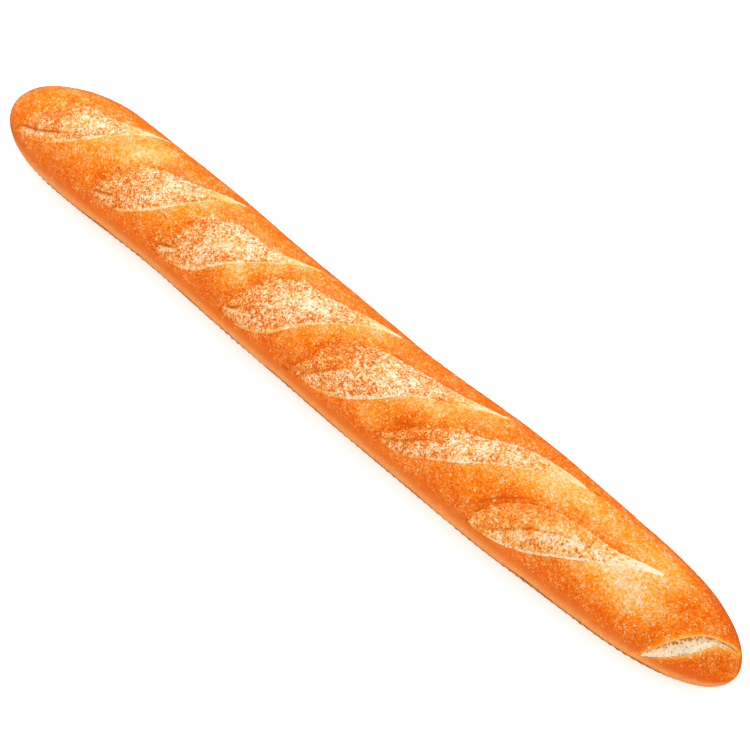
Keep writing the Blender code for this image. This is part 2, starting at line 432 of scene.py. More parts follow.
def girthPlaces():
    # s of the points round the girth, denser over the crown and the near flank
    s = np.linspace(-halfGirth, halfGirth, 4001)
    step = np.where(s < -34 * mm, crustSizes["sideStep"], crustSizes["crownStep"])
    step = np.where(np.abs(s) > 60 * mm, crustSizes["soleStep"], step)
    count = np.concatenate([[0], np.cumsum(np.diff(s) / step[1:])])
    points = int(count[-1])
    return np.interp(np.arange(points) / points * count[-1], count, s)


def columnPlaces():
    half = loafForm["length"] / 2
    x = half * np.sin(np.linspace(-1, 1, 6001) * np.pi / 2)
    outline = np.hypot(np.diff(x), np.diff(endScale(x)) * loafForm["halfWidth"])
    run = np.concatenate([[0], np.cumsum(outline)])
    return np.interp(np.linspace(0, run[-1], crustSizes["columns"] + 2)[1:-1], run, x)


def snapped(opening, name, x, s):
    # points beside a crisp edge move onto it, so that it doesn't come out stepped
    share, distance, way = fromEdge(opening, name, x, s)
    near = (np.abs(distance) < 0.52 * mm) & (share > 0.005) & (share < 0.995)
    return np.where(near, x - distance * way[..., 0], x), np.where(near, s - distance * way[..., 1], s)


# Paleness runs from 0, red-orange crust, to 1, plain cream crumb; these places (x, s, half length, half
# width, change) in mm make the skin paler, partly thin blistered skin and partly a painted highlight of
# the glare over the crown and the near bulge, or make it darker and redder
skinAndGlarePatches = [
    (-188, 4, 6, 9, 0.30), (-181, -4, 8, 9, 0.24), (-174, -12, 7, 8, 0.28), (-225, -22, 30, 14, -0.06),
    (-72, 17, 9, 7, 0.30), (52, 31, 8, 6, 0.26), (84, 5, 11, 5, 0.20), (186, -10, 28, 9, 0.30),
    (164, 1, 13, 8, 0.22), (232, 16, 27, 12, 0.48), (238, -10, 22, 11, 0.34), (20, -7, 13, 6, 0.12),
    (-205, 2, 10, 14, 0.10), (-272, 28, 8, 9, -0.12), (-290, -8, 16, 30, -0.12), (-188, 24, 9, 9, -0.12),
    (-86, 31, 10, 8, -0.14), (8, 20, 7, 11, -0.10), (78, 20, 10, 7, -0.14), (150, 17, 9, 7, -0.14),
    (104, 22, 14, 8, -0.06), (66, -2, 12, 8, 0.06), (264, -2, 8, 20, -0.08), (-20, 36, 22, 5, -0.06),
    (205, 33, 25, 6, -0.08),
]
# thin dark lines in the crust, painted shade where it creases and at the tips of openings: their places
# (x, s), width and darkness
creaseShades = [
    ([(-192, -18), (-191, -4), (-188, 10)], 0.9, 0.35), ([(139, 29), (149, 19), (161, 10)], 1.1, 0.6),
    ([(267, -10), (262, 6), (256, 22)], 1.4, 0.30), ([(262, -16), (257, 2), (252, 14)], 1.4, 0.22),
    ([(-48, -22), (-44, -21)], 1.6, 1.0), ([(20, -20.5), (24, -20)], 1.6, 1.0),
    ([(179, -20.5), (184, -20)], 1.5, 1.0), ([(-14, 43), (-8, 42)], 1.5, 1.6),
    ([(137, 43), (142, 41)], 1.2, 1.2), ([(-158, 44), (-152, 46.5), (-146, 46)], 1.1, 0.4),
    ([(-112, 48), (-104, 51.5), (-96, 52)], 1.1, 0.35), ([(70, 24), (78, 20), (86, 17)], 2.4, 0.4),
]
crustTone = {
    "girth": [0, 28, 38, 43, 48, 51, 55, 60],  # mm round from the crown
    "paleness": [0.37, 0.32, 0.18, 0.17, 0.22, 0.40, 0.50, 0.46],  # at those places
    "lip": 0.25,  # paler beside a lip, on the crown
    "farSide": -0.13,
    "rim": 0.55,  # paler skin at the crack
    # redder along a groove and more so right at it: partly painted shade of the groove
    "seam": -0.09,  # redder along a groove
    "seamLine": -0.12,  # and more so right at it
    "taperedEnd": -0.15,
}

breadLook = {
    # paleness, and the colour there
    "colours": [(0.0, "#DC5800"), (0.12, "#EE6A00"), (0.30, "#FA8608"),
                (0.50, "#FAA028"), (0.70, "#FBBD62"), (1.0, "#FCE4C8")],
    "streakSize": 1.6 * mm,  # mottling
    # the pale dashes are partly blister skin and partly painted glints of light
    "dashSize": 1.9 * mm,  # pale dashes on the crust
    "strandSize": 2.8 * mm,  # torn strands
    "patchSize": 8 * mm,
    "poreSize": 2.4 * mm,
    # the colour of the painted shade in the crust's creases
    "dark": "#B25206",
}


def onTray(x, s):
    # 1 where the dough lay on the tray and sank into its holes; the ends rise off it
    points, _ = onSkin(x, s)
    ragged = traySizes["unevenness"] * np.sin(x / (9 * mm)) * np.sin(x / (23 * mm))
    edge = traySizes["edge"] + ragged - traySizes["endRise"] * smooth(np.abs(x), 255 * mm, 298 * mm)
    return smooth(points[..., 2], edge + 1.1 * mm, edge - 2.0 * mm)


def crustFields(x, s, lip, seam, rim, torn):
    # paleness, torn share, darkness and tray share of the crust at each place
    tone = crustTone
    girth = np.abs(s) / mm
    paleness = np.interp(girth, tone["girth"], tone["paleness"])
    paleness += tone["lip"] * lip * (1 - 0.85 * smooth(s, 8 * mm, 30 * mm))
    paleness += tone["farSide"] * smooth(s, -14 * mm, -30 * mm)
    # the seam terms paint shade along the grooves, over redder crust
    paleness += tone["rim"] * rim + tone["seam"] * seam + tone["seamLine"] * seam ** 6
    paleness += tone["taperedEnd"] * smooth(x, 240 * mm, 276 * mm)
    # the pale patches paint the glare's highlight into the skin, over paler blistered skin
    for px, ps, halfLength, halfWidth, change in skinAndGlarePatches:
        paleness += change * np.exp(-((x / mm - px) / halfLength) ** 2 - ((s / mm - ps) / halfWidth) ** 2)
    dark = np.zeros_like(x)
    # painted shade along each crease
    for line, width, strength in creaseShades:
        off, along = fromPath(line, x, s)
        dark += strength * np.exp(-(off / (0.5 * width * mm)) ** 2) * leaf(along, 0.5, 0.5)
    return {
        "paleness": paleness - 0.4 * np.minimum(dark, 1), "torn": torn, "dark": np.minimum(dark, 1),
        "calm": np.maximum(0.45 * smooth(girth, 40, 45) - 0.3 * smooth(girth, 49, 53), 0.8 * rim),
        "hem": smooth(girth, 38, 53), "tray": onTray(x, s),
    }


def aroundOpenings(x, s):
    # what all the scores together do to the crust: its height; how near it is to a lip, to a seam and to
    # the crack's rim, and how torn; and whether it is open
    height, lip, seam, rim, torn, gap = np.zeros((6,) + x.shape)
    for opening in openings + [crack]:
        rise, nearLip, nearGroove, inside = besideOpening(opening, x, s)
        share, _ = toLine(opening, x, s)
        height += rise
        if opening is crack:
            rim = np.maximum(nearLip, nearGroove) ** 5
        else:
            lip = np.maximum(lip, nearLip)
        seam = np.maximum(seam, opening["seam"] * nearGroove)
        torn = np.maximum(torn, opening["blend"] * nearGroove ** 2 * smooth(share, 0.75, 0.35))
        gap = np.maximum(gap, inside)
    return height, (lip, seam, rim, torn), gap


def breadColour(tree, place):
    # the colours both surfaces share: streaks of pale skin and painted glints over orange, and where torn,
    # strands and pores
    look = breadLook
    fact = {name: readFact(tree, name) for name in ("paleness", "torn", "dark", "calm")}
    streak = addNoise(tree, place, look["streakSize"], Detail=1.5, Roughness=0.6, Distortion=1.4)
    strand = addNoise(tree, place, look["strandSize"], Detail=2.0, Roughness=0.6, Distortion=1.0)
    broad = addNoise(tree, place, look["patchSize"], Detail=2.0)
    fromMiddle = addMath(tree, "SUBTRACT", strand, 0.5)
    apart = addMath(tree, "ABSOLUTE", fromMiddle)
    fibre = addRange(tree, apart, 0.02, 0.09, 1.3, 0.0)
    blotch = addMath(tree, "MULTIPLY_ADD", streak, 4.0, -2.35)
    net = addMath(tree, "ADD", fibre, blotch)
    ground = addMath(tree, "MULTIPLY_ADD", streak, 2.4, -1.45)
    # pale dashes: partly blister skin, partly painted glints of light
    patchy = addMath(tree, "MULTIPLY_ADD", broad, 0.4, streak)
    dashes = addRange(tree, patchy, 0.65, 0.79, 0.0, 1.0)
    dash = addNoise(tree, place, look["dashSize"], Detail=1.0, Distortion=1.2)
    fromDash = addMath(tree, "SUBTRACT", dash, 0.5)
    nearDash = addMath(tree, "ABSOLUTE", fromDash)
    fine = addRange(tree, nearDash, 0.0, 0.05, 2.2, 0.0)
    skin = addMath(tree, "MULTIPLY_ADD", fine, dashes, ground)
    wave = addNode(tree, "ShaderNodeMix", {"Factor": fact["torn"], "A": skin, "B": net})
    contrast = addRange(tree, fact["paleness"], 0.15, 0.7, 0.38, 0.58)
    contrast = addMath(tree, "MULTIPLY_ADD", fact["torn"], 0.12, contrast)
    calmed = addMath(tree, "MULTIPLY_ADD", fact["calm"], -1.0, 1.0)
    contrast = addMath(tree, "MULTIPLY", contrast, calmed)
    varied = addMath(tree, "MULTIPLY_ADD", wave, contrast, fact["paleness"])
    fromMean = addMath(tree, "SUBTRACT", broad, 0.5)
    spread = addMath(tree, "MULTIPLY_ADD", fact["torn"], 0.6, 0.4)
    level = addMath(tree, "MULTIPLY_ADD", fromMean, spread, varied)
    level = addMath(tree, "MULTIPLY_ADD", fact["torn"], -0.08, level)
    # pores: darker dots in the torn crumb, partly browning and partly painted shade in the hollows
    pores = addNode(tree, "ShaderNodeTexVoronoi", {"Vector": place, "Scale": 1 / look["poreSize"]})
    uneven = addMath(tree, "MULTIPLY_ADD", streak, 1.4, pores.outputs["Distance"])
    poreDot = addRange(tree, uneven, 1.0, 0.84, 0.0, 0.85)
    poreShare = addMath(tree, "MULTIPLY", poreDot, fact["torn"])
    level = addMath(tree, "MULTIPLY_ADD", poreShare, -0.5, level)
    colour = addNode(tree, "ShaderNodeValToRGB", {0: level}, look["colours"])
    # how much of the painted shade of creases and pit edges shows, ragged
    ragged = addMath(tree, "MULTIPLY_ADD", streak, 5.0, -2.6)
    ragged = addMath(tree, "MULTIPLY_ADD", fact["dark"], 1.4, ragged, use_clamp=True)
    darkShare = addMath(tree, "MULTIPLY", fact["dark"], ragged)
    return colour, wave, poreShare, darkShare


crustLook = {
    "sides": [(0.0, "#CC6018"), (0.55, "#D26C2C"), (1.0, "#E0955C")],  # from below the crown to the tray
    "tray": [(0.35, "#96561E"), (0.65, "#BC7C3C")],
    "trayRim": [(0.35, "#5A3A22"), (0.95, "#FFFFFF")],  # darkens the tray colours along their upper edge
    "scorchSize": 6 * mm,
    "specular": 0.08,
    "bump": 0.10 * mm,
}


def bakedCrust():
    # A baked wheat crust: starch that gelled in the steam dries to an egg-shell gloss, sugars browned
    # it unevenly, and gas left pale pin-head blisters, which the eye reads as fine grain; its pale dashes
    # are partly that skin and partly painted glints of light
    material, tree, shader = newMaterial("bakedCrust")
    place = addNode(tree, "ShaderNodeTexCoord").outputs["Object"]
    colour, streaks, _, darkShare = breadColour(tree, place)
    # the creases' painted shade
    dark = linear(breadLook["dark"])
    colour = mixColours(tree, darkShare, colour, dark)
    hem = readFact(tree, "hem")
    sideShare = addRange(tree, hem, 0.0, 0.4, 0.0, 0.58)
    sides = addNode(tree, "ShaderNodeValToRGB", {0: hem}, crustLook["sides"])
    colour = mixColours(tree, sideShare, colour, sides)
    tray = readFact(tree, "tray")
    scorched = addNoise(tree, place, crustLook["scorchSize"], Detail=3.0)
    underTone = addNode(tree, "ShaderNodeValToRGB", {0: scorched}, crustLook["tray"])
    trayRim = addNode(tree, "ShaderNodeValToRGB", {0: tray}, crustLook["trayRim"])
    underTone = mixColours(tree, 1.0, underTone, trayRim, blend_type="MULTIPLY")
    trayShare = addRange(tree, tray, 0.1, 0.4, 0.0, 1.0)
    colour = mixColours(tree, trayShare, colour, underTone.outputs[2])
    tree.links.new(colour.outputs[2], shader.inputs["Base Color"])
    rough = addRange(tree, streaks, -1.0, 1.5, 0.36, 0.26)
    tree.links.new(rough.outputs[0], shader.inputs["Roughness"])
    shader.inputs["Specular IOR Level"].default_value = crustLook["specular"]
    bump = addNode(tree, "ShaderNodeBump", {
        "Strength": 1.0, "Distance": crustLook["bump"], "Height": streaks})
    tree.links.new(bump.outputs[0], shader.inputs["Normal"])
    return material


def liftedBy(tree, given, place, mask, layers):
    # moves the surface along its normal by layers of noise, each with a height input and a size input
    total = 0.0
    for lift, size, detail in layers:
        scale = addMath(tree, "DIVIDE", 1.0, given.outputs[size])
        noise = addNode(tree, "ShaderNodeTexNoise", {"Vector": place, "Scale": scale, "Detail": detail})
        centred = addMath(tree, "SUBTRACT", noise, 0.5)
        total = addMath(tree, "MULTIPLY_ADD", centred, given.outputs[lift], total)
    masked = addMath(tree, "MULTIPLY", total, mask)
    normal = addNode(tree, "GeometryNodeInputNormal")
    offset = addNode(tree, "ShaderNodeVectorMath", {0: normal, "Scale": masked}, operation="SCALE")
    return addNode(tree, "GeometryNodeSetPosition", {
        "Geometry": given.outputs["Geometry"], "Offset": offset})


def crustRelief(material):
    # lifts the skin by a broad and a fine unevenness, but leaves the sole flat
    names = ("Lump", "Lump Size", "Pucker", "Pucker Size")
    tree, given = newTree("crustRelief", {name: 0.0 for name in names})
    place = addNode(tree, "GeometryNodeInputPosition")
    height = addNode(tree, "ShaderNodeSeparateXYZ", {0: place}).outputs["Z"]
    aboveSole = addRange(tree, height, 1.0 * mm, 8 * mm, 0.0, 1.0)
    layers = (("Lump", "Lump Size", 1.0), ("Pucker", "Pucker Size", 2.0))
    raised = liftedBy(tree, given, place, aboveSole, layers)
    endTree(tree, raised, material)
    return tree


def makeCrust():
    columns, girth = columnPlaces(), girthPlaces()
    x = np.repeat(columns[:, None], len(girth), axis=1)
    s = np.repeat(girth[None, :], len(columns), axis=0)
    for _ in range(3):
        for opening in openings:
            x, s = snapped(opening, "lip", x, s)
        x, s = snapped(crack, "groove", x, s)
    height, around, _ = aroundOpenings(x, s)
    fields = crustFields(x, s, *around)
    height -= 0.25 * mm * fields["dark"] + traySizes["high"] * fields["tray"]
    points, _ = onSkin(x, s, height)
    half = loafForm["length"] / 2
    tips = [onSkin(np.array([end]), np.array([0.0]))[0][0] for end in (-half, half)]
    rings, ringPoints = x.shape

    # each quad is split along the diagonal whose ends are closest in height, which keeps a lip crisp
    row = np.arange(rings - 1)[:, None] * ringPoints
    k = np.arange(ringPoints)
    after = (k + 1) % ringPoints
    a, b, c, d = row + k, row + after, row + ringPoints + after, row + ringPoints + k
    flat = height.ravel()
    first = np.abs(flat[a] - flat[c]) <= np.abs(flat[b] - flat[d])
    one = np.where(first[..., None], np.stack([a, b, c], -1), np.stack([a, b, d], -1))
    two = np.where(first[..., None], np.stack([a, c, d], -1), np.stack([b, c, d], -1))
    last = (rings - 1) * ringPoints
    tipA, tipB = rings * ringPoints, rings * ringPoints + 1
    fans = np.concatenate([
        np.stack([after, k, np.full_like(k, tipA)], -1),
        np.stack([last + k, last + after, np.full_like(k, tipB)], -1),
    ])
    faces = np.concatenate([one.reshape(-1, 3), two.reshape(-1, 3), fans])
    every = np.concatenate([points.reshape(-1, 3), tips])

    def withTips(values):
        return np.concatenate([values.ravel(), [values[0].mean(), values[-1].mean()]])

    attributes = {name: withTips(values) for name, values in fields.items()}
    crust = newObject("loafCrust", every, faces.tolist(), attributes)
    grow(crust, crustRelief(bakedCrust()), {
        "Lump": 2 * crustSizes["lump"], "Lump Size": crustSizes["lumpSize"],
        "Pucker": 2 * crustSizes["pucker"], "Pucker Size": crustSizes["puckerSize"],
    })
    print("crust:", len(faces), "triangles")
    return crust


crust = makeCrust()


# the torn crumb that fills the openings

crumbSizes = {
    "alongStep": 0.62 * mm,
    "acrossPoints": 46,
    "undersidePoints": 8,
    "thickness": 2.0 * mm,
    "dome": 0.5 * mm,  # how far the crumb bulges between lip and groove
    "fillPower": 1.8,  # how quickly it rises from the groove
    "strand": 0.6 * mm,  # range of the torn strands' height
    "strandSize": 2.6 * mm,
    "fleck": 0.2 * mm,  # and of the finer tearing
    "fleckSize": 1.3 * mm,
}


def crumbHeight(opening, share, rise, x, s):
    # height of the crumb over the smooth loaf; rise is 0 at the groove and 1 at the lip
    swell = leaf(share)
    inside = np.clip(rise, 0, 1)
    lipTop = (edges["lipHeight"] - edges["lipStep"] * smooth(swell, 0, 0.3)) * swell
    if "wall" in opening:
        wall = opening["wall"] * mm * swell
        height = -wall * (1 - inside) ** 1.6 * smooth(inside, 0.0, 0.20) - 0.2 * mm
    else:
        depth = opening["depth"] * mm * swell
        height = lipTop * inside ** 2 - depth * (1 - inside) ** crumbSizes["fillPower"]
        height += crumbSizes["dome"] * 4 * inside * (1 - inside) * swell
    facts = {}
    if "pit" in opening:
        pit = opening["pit"]
        off, along = fromPath(pit["line"], x, s)
        hole = np.exp(-(off / (0.5 * pit["width"] * mm)) ** 2) * leaf(along, 0.4, 0.8)
        height = height - pit["depth"] * mm * hole
        facts["shade"] = hole * smooth(off, 0.15 * pit["width"] * mm, -0.3 * pit["width"] * mm)
        # a dark line along the pit's upper edge: painted shade there
        facts["brink"] = np.exp(-((off / mm + 0.42 * pit["width"]) / 0.8) ** 2) * leaf(along, 0.4, 0.7)
        facts["hole"] = hole
    if "fold" in opening:
        fold = opening["fold"]
        off, along = fromPath(fold["line"], x, s)
        fade = leaf(along, 0.4, 0.8)
        flap = smooth(-off, -0.8 * mm, 1.2 * mm) * np.exp(np.minimum(off, 0) / (9 * mm))
        height = height + fold["height"] * mm * flap * fade
        # a dark line where the flap folds over: painted shade in that crease
        facts["crease"] = np.exp(-((off - 0.5 * mm) / (0.9 * mm)) ** 2) * fade
        inner = smooth(along, 0.0, 0.05) * smooth(along, 1.0, 0.9)
        facts["flap"] = smooth(-off, -0.5 * mm, 1.5 * mm) * inner
    return height, facts


crumbTone = {
    "paleness": 0.46,
    "baked": -0.26,  # where it faced the oven longest
    "groove": 0.14,  # by the groove, near the far tip
    "grooveNear": -0.26,  # and its change towards the near tip
    # darker at the folds' creases and the pits' upper edges: painted shade
    "crease": -0.5,
    # the palest patch, in the middle: pale crumb with a painted highlight of the glare over it
    "bareAndGlare": 0.34,  # the palest patch, in the middle
    "farTip": 0.46,
    "hole": 0.5,
    # a pale line below the lip: partly the thin cut edge, partly a painted highlight where it catches light
    "lipLine": 0.22,  # the last strip below the lip
    "lipLineFar": 0.20,
    # darker just below that line: painted shade under the lip
    "underLip": -0.08,
}


def crumbBody(opening):
    # one closed body: its upper side from groove to lip, tucked under the crust, and a plain underside
    _, _, run = scoreLine(opening)
    rows = int(run / crumbSizes["alongStep"])
    share = np.linspace(0.004, 0.996, rows)[:, None]
    groove, lip = edgeAt(opening, "groove", share), edgeAt(opening, "lip", share)
    ends = smooth(share, 0, 0.06) * smooth(share, 1.0, 0.94)
    tuck = edges["tuck"] * (0.15 + 0.85 * ends)
    upper = np.linspace(0, 1, crumbSizes["acrossPoints"])[None, :]
    across = groove - tuck + (lip - groove + 2 * tuck) * upper
    x, s = fromLine(opening, share, across)
    width = np.maximum(lip - groove, 0.2 * mm)
    rise = (across - groove) / width
    height, facts = crumbHeight(opening, share, rise, x, s)
    outside = np.maximum(groove - across, across - lip - 0.5 * mm)
    height = height - 2.4 * mm * smooth(outside / np.maximum(tuck, 0.1 * mm), 0, 1) - 0.5 * mm * (1 - ends)
    for other in openings:
        if other is not opening:
            beside, _, _, within = besideOpening(other, x, s)
            height = height + np.where(within, 0, beside)
    under = np.linspace(1, 0, crumbSizes["undersidePoints"] + 2)[None, 1:-1]
    acrossUnder = groove - tuck + (lip - groove + 2 * tuck) * under
    xUnder, sUnder = fromLine(opening, share, acrossUnder)
    edgeHeight = np.minimum(height[:, :1], height[:, -1:])
    heightUnder = edgeHeight - crumbSizes["thickness"] - 3 * mm * 4 * under * (1 - under) * ends
    points, _ = onSkin(np.hstack([x, xUnder]), np.hstack([s, sUnder]), np.hstack([height, heightUnder]))

    def withUnderside(values):
        return np.hstack([values + np.zeros_like(x), np.zeros_like(xUnder)])

    browned = opening["browned"]
    none = 0 * x
    flap, hole = facts.get("flap", none), facts.get("hole", none)
    broadFlap = "flap" in facts and browned > 0.8  # as browned as the crust, over a pale strip
    side = np.clip(rise, 0, 1)
    bake = smooth(browned - share - 0.22 * side, -0.16, 0.26)
    farTip = smooth(share, 0.62, 0.95) + none
    strip = none
    torn = (0.2 + 0.8 * smooth(share, 0.95, 0.6)) * ("wall" not in opening)
    if "flap" in facts:
        below = np.maximum(0.35 + 0.65 * flap, smooth(share, 0.18, 0.06))
        bake = np.maximum(bake * below, flap * smooth(browned - share, -0.2, 0.1))
    if broadFlap:
        strip = 0.4 * (1 - flap)
        farTip = farTip * (1 - 0.85 * flap)
        torn = torn * (1 - 0.6 * flap)
    byGroove = smooth(side, 0.24, 0.0)
    lipLine = smooth(side, 0.925, 0.955)
    # the painted shade of the creases and of the pits' upper edges
    crease = np.maximum(0.5 * facts.get("crease", none), 0.8 * facts.get("brink", none))
    # paler in the middle: pale crumb and a painted highlight of the glare
    bareAndGlare = np.exp(-((share - 0.52) / 0.13) ** 2 - ((side - 0.5) / 0.28) ** 2)
    tone = crumbTone
    paleness = tone["paleness"] + tone["baked"] * bake + tone["crease"] * crease
    paleness += byGroove * (tone["groove"] + tone["grooveNear"] * smooth(share, 0.6, 0.25))
    paleness += tone["bareAndGlare"] * bareAndGlare + tone["farTip"] * farTip + tone["hole"] * hole
    # the pale lip line, partly painted highlight, and painted shade just below it
    alongLip = tone["lipLine"] * smooth(share, 0, 0.12) + tone["lipLineFar"] * smooth(share, 0.15, 0.45)
    paleness += lipLine * (1 - farTip) * alongLip
    paleness += tone["underLip"] * np.exp(-((side - 0.89) / 0.05) ** 2)
    paleness += (0.19 * flap + 0.5 * strip) * broadFlap
    # the crack's wall side and a pit's shaded side, where the holes take painted shade
    wall = (1 - smooth(side, 0.10, 0.40)) * ("wall" in opening) + facts.get("shade", none)
    raw = np.maximum(0.3 * hole, 0.8 * ("wall" in opening))
    calm = [0.8 * lipLine, 0.4 * bareAndGlare, 0.7 * farTip, crease, strip, 0.5 * hole]
    attributes = {
        "paleness": paleness, "torn": torn, "dark": crease, "raw": raw,
        "calm": np.maximum.reduce(calm), "wall": wall,
        "visible": ends * smooth(outside, 0.3 * mm, -0.2 * mm),
    }
    return points, {name: withUnderside(values) for name, values in attributes.items()}


def tubeFaces(rings, ringPoints, firstTip, lastTip, start):
    # quads between closed rings and a fan at each end, facing outwards
    row = np.arange(rings - 1)[:, None] * ringPoints
    k = np.arange(ringPoints)
    after = (k + 1) % ringPoints
    quads = np.stack([row + k, row + ringPoints + k, row + ringPoints + after, row + after], -1)
    last = (rings - 1) * ringPoints
    fans = [(firstTip, a, b) for a, b in zip(k, after)]
    fans += [(lastTip, last + b, last + a) for a, b in zip(k, after)]
    return [[int(v) + start for v in face] for face in quads.reshape(-1, 4).tolist() + fans]


crumbLook = {
    # the holes go from pale crumb to brown: painted shade in them, over porous crumb
    "raw": [(0.0, "#FFEDCC"), (0.5, "#F2C484"), (1.0, "#B87018")],  # from bare crumb into its holes
    # the colour of the painted shade along creases and the pits' upper edges
    "dark": "#B05A0A",
    "holeSize": 1.4 * mm,
    "specular": 0.25,
    "bump": 0.12 * mm,
}


def tornCrumb():
    # The torn inside of the loaf: a dry net of gluten strands, matte and cream, darker in the hollows
    # between them, partly browned and partly painted shade, and browned where it faced the oven longest
    material, tree, shader = newMaterial("tornCrumb")
    place = addNode(tree, "ShaderNodeTexCoord").outputs["Object"]
    colour, streaks, pores, darkShare = breadColour(tree, place)
    rawPlace = readFact(tree, "raw")
    rawRagged = addMath(tree, "MULTIPLY_ADD", streaks, 0.22, rawPlace)
    raw = addRange(tree, rawRagged, 0.30, 0.72, 0.0, 0.9)
    holes = addNoise(tree, place, crumbLook["holeSize"], Detail=2.0, Roughness=0.6)
    # more holes towards the wall: painted shade under the crack's wall and on a pit's shaded side
    shadow = readFact(tree, "wall")
    lowered = addMath(tree, "MULTIPLY_ADD", shadow, 0.20, holes)
    holeShare = addRange(tree, lowered, 0.55, 0.72, 0.0, 1.0)
    rawTone = addNode(tree, "ShaderNodeValToRGB", {0: holeShare}, crumbLook["raw"])
    colour = mixColours(tree, raw, colour, rawTone)
    dark = linear(crumbLook["dark"])
    colour = mixColours(tree, darkShare, colour, dark)
    tree.links.new(colour.outputs[2], shader.inputs["Base Color"])
    rough = addRange(tree, streaks, -1.0, 1.5, 0.7, 0.45)
    tree.links.new(rough.outputs[0], shader.inputs["Roughness"])
    shader.inputs["Specular IOR Level"].default_value = crumbLook["specular"]
    height = addMath(tree, "MULTIPLY_ADD", pores, -2.0, streaks)
    bump = addNode(tree, "ShaderNodeBump", {
        "Strength": 1.0, "Distance": crumbLook["bump"], "Height": height})
    tree.links.new(bump.outputs[0], shader.inputs["Normal"])
    return material


def crumbRelief(material):
    # raises the torn strands out of the crumb
    names = ("Strand", "Strand Size", "Fleck", "Fleck Size")
    tree, given = newTree("crumbRelief", {name: 0.0 for name in names})
    place = addNode(tree, "GeometryNodeInputPosition")
    shown = addNode(tree, "GeometryNodeInputNamedAttribute", {"Name": "visible"}, data_type="FLOAT")
    layers = (("Strand", "Strand Size", 2.0), ("Fleck", "Fleck Size", 1.0))
    raised = liftedBy(tree, given, place, shown, layers)
    endTree(tree, raised, material)
    return tree


def makeCrumb():
    every, faces, gathered, start = [], [], {}, 0
    for opening in openings + [crack]:
        points, attributes = crumbBody(opening)
        rings, ringPoints, _ = points.shape
        tips = [points[0].mean(axis=0), points[-1].mean(axis=0)]
        count = rings * ringPoints
        every += [points.reshape(-1, 3), np.array(tips)]
        faces += tubeFaces(rings, ringPoints, count, count + 1, start)
        for name, values in attributes.items():
            gathered.setdefault(name, []).append(np.concatenate([values.ravel(), [0, 0]]))
        start += count + 2
    attributes = {name: np.concatenate(parts) for name, parts in gathered.items()}
    crumb = newObject("tornCrumb", np.concatenate(every), faces, attributes)
    grow(crumb, crumbRelief(tornCrumb()), {
        "Strand": crumbSizes["strand"], "Strand Size": crumbSizes["strandSize"],
        "Fleck": crumbSizes["fleck"], "Fleck Size": crumbSizes["fleckSize"],
    })
    print("crumb:", sum(len(f) - 2 for f in faces), "triangles")
    return crumb


crumb = makeCrumb()


# blisters on the crust and the marks of the baking tray below: low domes set on the skin

blisterSizes = {
    "count": 2200,
    "tries": 40000,
    "narrowest": 0.5 * mm,
    "widest": 1.1 * mm,
    "high": 0.22,  # of its own width
}
blisterColours = ["#FAA44C", "#FCC88C"]
trayColours = ["#BC7630", "#D0964E"]


def domeTree():
    # a low dome on every point, turned to its normal and scaled by its width
    tree, given = newTree("lowDomes", {"Height Share": 0.0})
    ball = addNode(tree, "GeometryNodeMeshUVSphere", {"Segments": 8, "Rings": 4, "Radius": 0.5})
    normal = addNode(tree, "GeometryNodeInputNamedAttribute", {"Name": "upward"}, data_type="FLOAT_VECTOR")
    width = addNode(tree, "GeometryNodeInputNamedAttribute", {"Name": "width"}, data_type="FLOAT")
    turn = addNode(tree, "FunctionNodeAlignRotationToVector", {"Vector": normal}, axis="Z")
    share = given.outputs["Height Share"]
    high = addMath(tree, "MULTIPLY", width, share)
    twice = addMath(tree, "MULTIPLY", high, 2.0)
    size = addNode(tree, "ShaderNodeCombineXYZ", {"X": width, "Y": width, "Z": twice})
    placed = addNode(tree, "GeometryNodeInstanceOnPoints", {
        "Points": given.outputs["Geometry"], "Instance": ball, "Rotation": turn, "Scale": size})
    return tree, placed


def makeDomes(name, x, s, height, width, heightShare, material):
    points, normals = onSkin(x, s, height)
    holder = newObject(name, points, [], {"width": width})
    layer = holder.data.attributes.new("upward", "FLOAT_VECTOR", "POINT")
    layer.data.foreach_set("vector", np.ascontiguousarray(normals, np.float32).ravel())
    tree, placed = domeTree()
    endTree(tree, placed, material)
    grow(holder, tree, {"Height Share": heightShare})
    print(name + ":", len(x), "domes")
    return holder


def domeSkin(name, colours, roughness):
    material, tree, shader = newMaterial(name)
    place = addNode(tree, "ShaderNodeTexCoord").outputs["Object"]
    noise = addNoise(tree, place, 1.5 * mm, Detail=2.0)
    colour = addNode(tree, "ShaderNodeValToRGB", {0: noise}, [(0.35, colours[0]), (0.65, colours[1])])
    tree.links.new(colour.outputs[0], shader.inputs["Base Color"])
    rough = addRange(tree, noise, 0.3, 0.7, roughness - 0.06, roughness + 0.06)
    tree.links.new(rough.outputs[0], shader.inputs["Roughness"])
    shader.inputs["Specular IOR Level"].default_value = 0.35
    bump = addNode(tree, "ShaderNodeBump", {"Strength": 0.5, "Distance": 0.05 * mm, "Height": noise})
    tree.links.new(bump.outputs[0], shader.inputs["Normal"])
    return material


